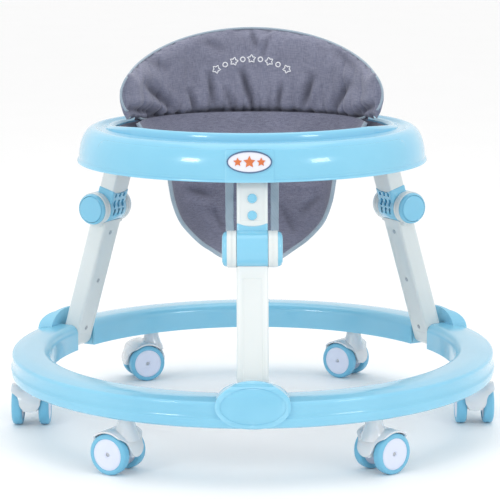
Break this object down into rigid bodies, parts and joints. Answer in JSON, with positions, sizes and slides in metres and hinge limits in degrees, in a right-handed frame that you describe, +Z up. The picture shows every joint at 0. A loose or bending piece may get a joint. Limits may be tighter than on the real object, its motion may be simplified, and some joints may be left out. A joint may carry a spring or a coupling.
{
  "type": "baby walker",
  "caption": "Folding baby walker with a round wheeled base, hinged legs, a round tray and a padded fabric seat with a curved back.",
  "frame": {"origin": "on the floor, below the middle of the walker's overall box", "axes": "+Z up, -Y towards the front leg and the badge, +X to the right as seen from the front"},
  "size_m": [0.6999, 0.7025, 0.562],
  "materials": {
    "blue_plastic": "glossy moulded",
    "white_plastic": "satin moulded",
    "clear_plastic": "milky translucent",
    "blue_tyre": "soft moulded tread",
    "steel": "plain zinc plated",
    "grey_fabric": "two-tone plain weave",
    "badge_plastic": "glossy printed"
  },
  "bodies": {
    "base": {"base_ring_shell": "blue_plastic", "base_ring_floor": "blue_plastic", "leg_foot_housings": "blue_plastic", "foot_pins": "steel", "caster_sockets": "blue_plastic", "ring_screws": "steel", "foot_cover_front": "blue_plastic", "foot_cover_left": "blue_plastic", "foot_cover_right": "blue_plastic"},
    "lower_leg_front": {"lower_leg_front": "white_plastic", "leg_screws_front": "steel", "hinge_caps_front": "blue_plastic", "hinge_pin_front": "steel"},
    "upper_leg_front": {"hinge_sleeve_front": "blue_plastic", "upper_strut_front": "white_plastic", "strut_studs_front": "blue_plastic"},
    "hinge_button_front_a": {"hinge_button_front_a": "blue_plastic"},
    "hinge_button_front_b": {"hinge_button_front_b": "blue_plastic"},
    "lower_leg_left": {"lower_leg_left": "white_plastic", "leg_screws_left": "steel", "hinge_caps_left": "blue_plastic", "hinge_pin_left": "steel"},
    "upper_leg_left": {"hinge_sleeve_left": "blue_plastic", "upper_strut_left": "white_plastic", "strut_studs_left": "blue_plastic"},
    "hinge_button_left_a": {"hinge_button_left_a": "blue_plastic"},
    "hinge_button_left_b": {"hinge_button_left_b": "blue_plastic"},
    "lower_leg_right": {"lower_leg_right": "white_plastic", "leg_screws_right": "steel", "hinge_caps_right": "blue_plastic", "hinge_pin_right": "steel"},
    "upper_leg_right": {"hinge_sleeve_right": "blue_plastic", "upper_strut_right": "white_plastic", "strut_studs_right": "blue_plastic"},
    "hinge_button_right_a": {"hinge_button_right_a": "blue_plastic"},
    "hinge_button_right_b": {"hinge_button_right_b": "blue_plastic"},
    "tray": {"tray_shell": "blue_plastic", "tray_brackets": "blue_plastic", "tray_pivot_pins": "steel", "tray_badge": "badge_plastic", "seat_back_pad": "grey_fabric", "seat_pouch": "grey_fabric"},
    "caster_right": {"caster_fork_right": "clear_plastic"},
    "wheels_right": {"caster_tyres_right": "blue_tyre", "caster_hubs_right": "white_plastic"},
    "caster_back_right": {"caster_fork_back_right": "clear_plastic"},
    "wheels_back_right": {"caster_tyres_back_right": "blue_tyre", "caster_hubs_back_right": "white_plastic"},
    "caster_back_left": {"caster_fork_back_left": "clear_plastic"},
    "wheels_back_left": {"caster_tyres_back_left": "blue_tyre", "caster_hubs_back_left": "white_plastic"},
    "caster_left": {"caster_fork_left": "clear_plastic"},
    "wheels_left": {"caster_tyres_left": "blue_tyre", "caster_hubs_left": "white_plastic"},
    "caster_front_left": {"caster_fork_front_left": "clear_plastic"},
    "wheels_front_left": {"caster_tyres_front_left": "blue_tyre", "caster_hubs_front_left": "white_plastic"},
    "caster_front_right": {"caster_fork_front_right": "clear_plastic"},
    "wheels_front_right": {"caster_tyres_front_right": "blue_tyre", "caster_hubs_front_right": "white_plastic"}
  },
  "joints": [
    {"name": "fold_foot_front", "type": "hinge", "parent": "base", "child": "lower_leg_front", "pos_m": [0, -0.311, 0.093], "axis": [-1, 0, 0], "range_deg": [0, 50]},
    {"name": "fold_knee_front", "type": "hinge", "parent": "lower_leg_front", "child": "upper_leg_front", "pos_m": [0, -0.25453, 0.29849], "axis": [1, 0, 0], "range_deg": [0, 138]},
    {"name": "button_front_a", "type": "slide", "parent": "lower_leg_front", "child": "hinge_button_front_a", "axis": [-1, 0, 0], "range_m": [0, 0.0025], "stiffness_N_per_m": 400},
    {"name": "button_front_b", "type": "slide", "parent": "lower_leg_front", "child": "hinge_button_front_b", "axis": [1, 0, 0], "range_m": [0, 0.0025], "stiffness_N_per_m": 400},
    {"name": "fold_foot_left", "type": "hinge", "parent": "base", "child": "lower_leg_left", "pos_m": [-0.26933, 0.1555, 0.093], "axis": [0.5, 0.866, 0], "range_deg": [0, 50]},
    {"name": "fold_knee_left", "type": "hinge", "parent": "lower_leg_left", "child": "upper_leg_left", "pos_m": [-0.22043, 0.12726, 0.29849], "axis": [-0.5, -0.866, 0], "range_deg": [0, 138]},
    {"name": "button_left_a", "type": "slide", "parent": "lower_leg_left", "child": "hinge_button_left_a", "axis": [0.5, 0.866, 0], "range_m": [0, 0.0025], "stiffness_N_per_m": 400},
    {"name": "button_left_b", "type": "slide", "parent": "lower_leg_left", "child": "hinge_button_left_b", "axis": [-0.5, -0.866, 0], "range_m": [0, 0.0025], "stiffness_N_per_m": 400},
    {"name": "fold_foot_right", "type": "hinge", "parent": "base", "child": "lower_leg_right", "pos_m": [0.26933, 0.1555, 0.093], "axis": [0.5, -0.866, 0], "range_deg": [0, 50]},
    {"name": "fold_knee_right", "type": "hinge", "parent": "lower_leg_right", "child": "upper_leg_right", "pos_m": [0.22043, 0.12726, 0.29849], "axis": [-0.5, 0.866, 0], "range_deg": [0, 138]},
    {"name": "button_right_a", "type": "slide", "parent": "lower_leg_right", "child": "hinge_button_right_a", "axis": [0.5, -0.866, 0], "range_m": [0, 0.0025], "stiffness_N_per_m": 400},
    {"name": "button_right_b", "type": "slide", "parent": "lower_leg_right", "child": "hinge_button_right_b", "axis": [-0.5, 0.866, 0], "range_m": [0, 0.0025], "stiffness_N_per_m": 400},
    {"name": "tray_pivot_front", "type": "hinge", "parent": "upper_leg_front", "child": "tray", "pos_m": [0, -0.216, 0.4], "axis": [-1, 0, 0], "range_deg": [0, 88], "deforming": ["seat_pouch"]},
    {"name": "swivel_right", "type": "hinge", "parent": "base", "child": "caster_right", "pos_m": [0.322, 0, 0.09], "axis": [0, 0, 1], "continuous": true},
    {"name": "wheel_spin_right", "type": "hinge", "parent": "caster_right", "child": "wheels_right", "pos_m": [0.322, -0.014, 0.028], "axis": [1, 0, 0], "continuous": true},
    {"name": "swivel_back_right", "type": "hinge", "parent": "base", "child": "caster_back_right", "pos_m": [0.161, 0.27886, 0.09], "axis": [0, 0, 1], "continuous": true},
    {"name": "wheel_spin_back_right", "type": "hinge", "parent": "caster_back_right", "child": "wheels_back_right", "pos_m": [0.14953, 0.28689, 0.028], "axis": [-0.5736, -0.8192, 0], "continuous": true},
    {"name": "swivel_back_left", "type": "hinge", "parent": "base", "child": "caster_back_left", "pos_m": [-0.161, 0.27886, 0.09], "axis": [0, 0, 1], "continuous": true},
    {"name": "wheel_spin_back_left", "type": "hinge", "parent": "caster_back_left", "child": "wheels_back_left", "pos_m": [-0.17416, 0.27407, 0.028], "axis": [0.342, -0.9397, 0], "continuous": true},
    {"name": "swivel_left", "type": "hinge", "parent": "base", "child": "caster_left", "pos_m": [-0.322, 0, 0.09], "axis": [0, 0, 1], "continuous": true},
    {"name": "wheel_spin_left", "type": "hinge", "parent": "caster_left", "child": "wheels_left", "pos_m": [-0.322, -0.014, 0.028], "axis": [1, 0, 0], "continuous": true},
    {"name": "swivel_front_left", "type": "hinge", "parent": "base", "child": "caster_front_left", "pos_m": [-0.16825, -0.27455, 0.09], "axis": [0, 0, 1], "continuous": true},
    {"name": "wheel_spin_front_left", "type": "hinge", "parent": "caster_front_left", "child": "wheels_front_left", "pos_m": [-0.18037, -0.26755, 0.028], "axis": [-0.5, -0.866, 0], "continuous": true},
    {"name": "swivel_front_right", "type": "hinge", "parent": "base", "child": "caster_front_right", "pos_m": [0.161, -0.27886, 0.09], "axis": [0, 0, 1], "continuous": true},
    {"name": "wheel_spin_front_right", "type": "hinge", "parent": "caster_front_right", "child": "wheels_front_right", "pos_m": [0.17203, -0.27024, 0.028], "axis": [-0.6157, 0.788, 0], "continuous": true}
  ],
  "couplings": [
    {"joint": "fold_knee_front", "follows": "fold_foot_front", "ratio": 2.759},
    {"joint": "fold_knee_left", "follows": "fold_foot_front", "ratio": 2.759},
    {"joint": "fold_foot_left", "follows": "fold_foot_front", "ratio": 1},
    {"joint": "fold_knee_right", "follows": "fold_foot_front", "ratio": 2.759},
    {"joint": "fold_foot_right", "follows": "fold_foot_front", "ratio": 1},
    {"joint": "tray_pivot_front", "follows": "fold_foot_front", "ratio": 1.759}
  ]
}
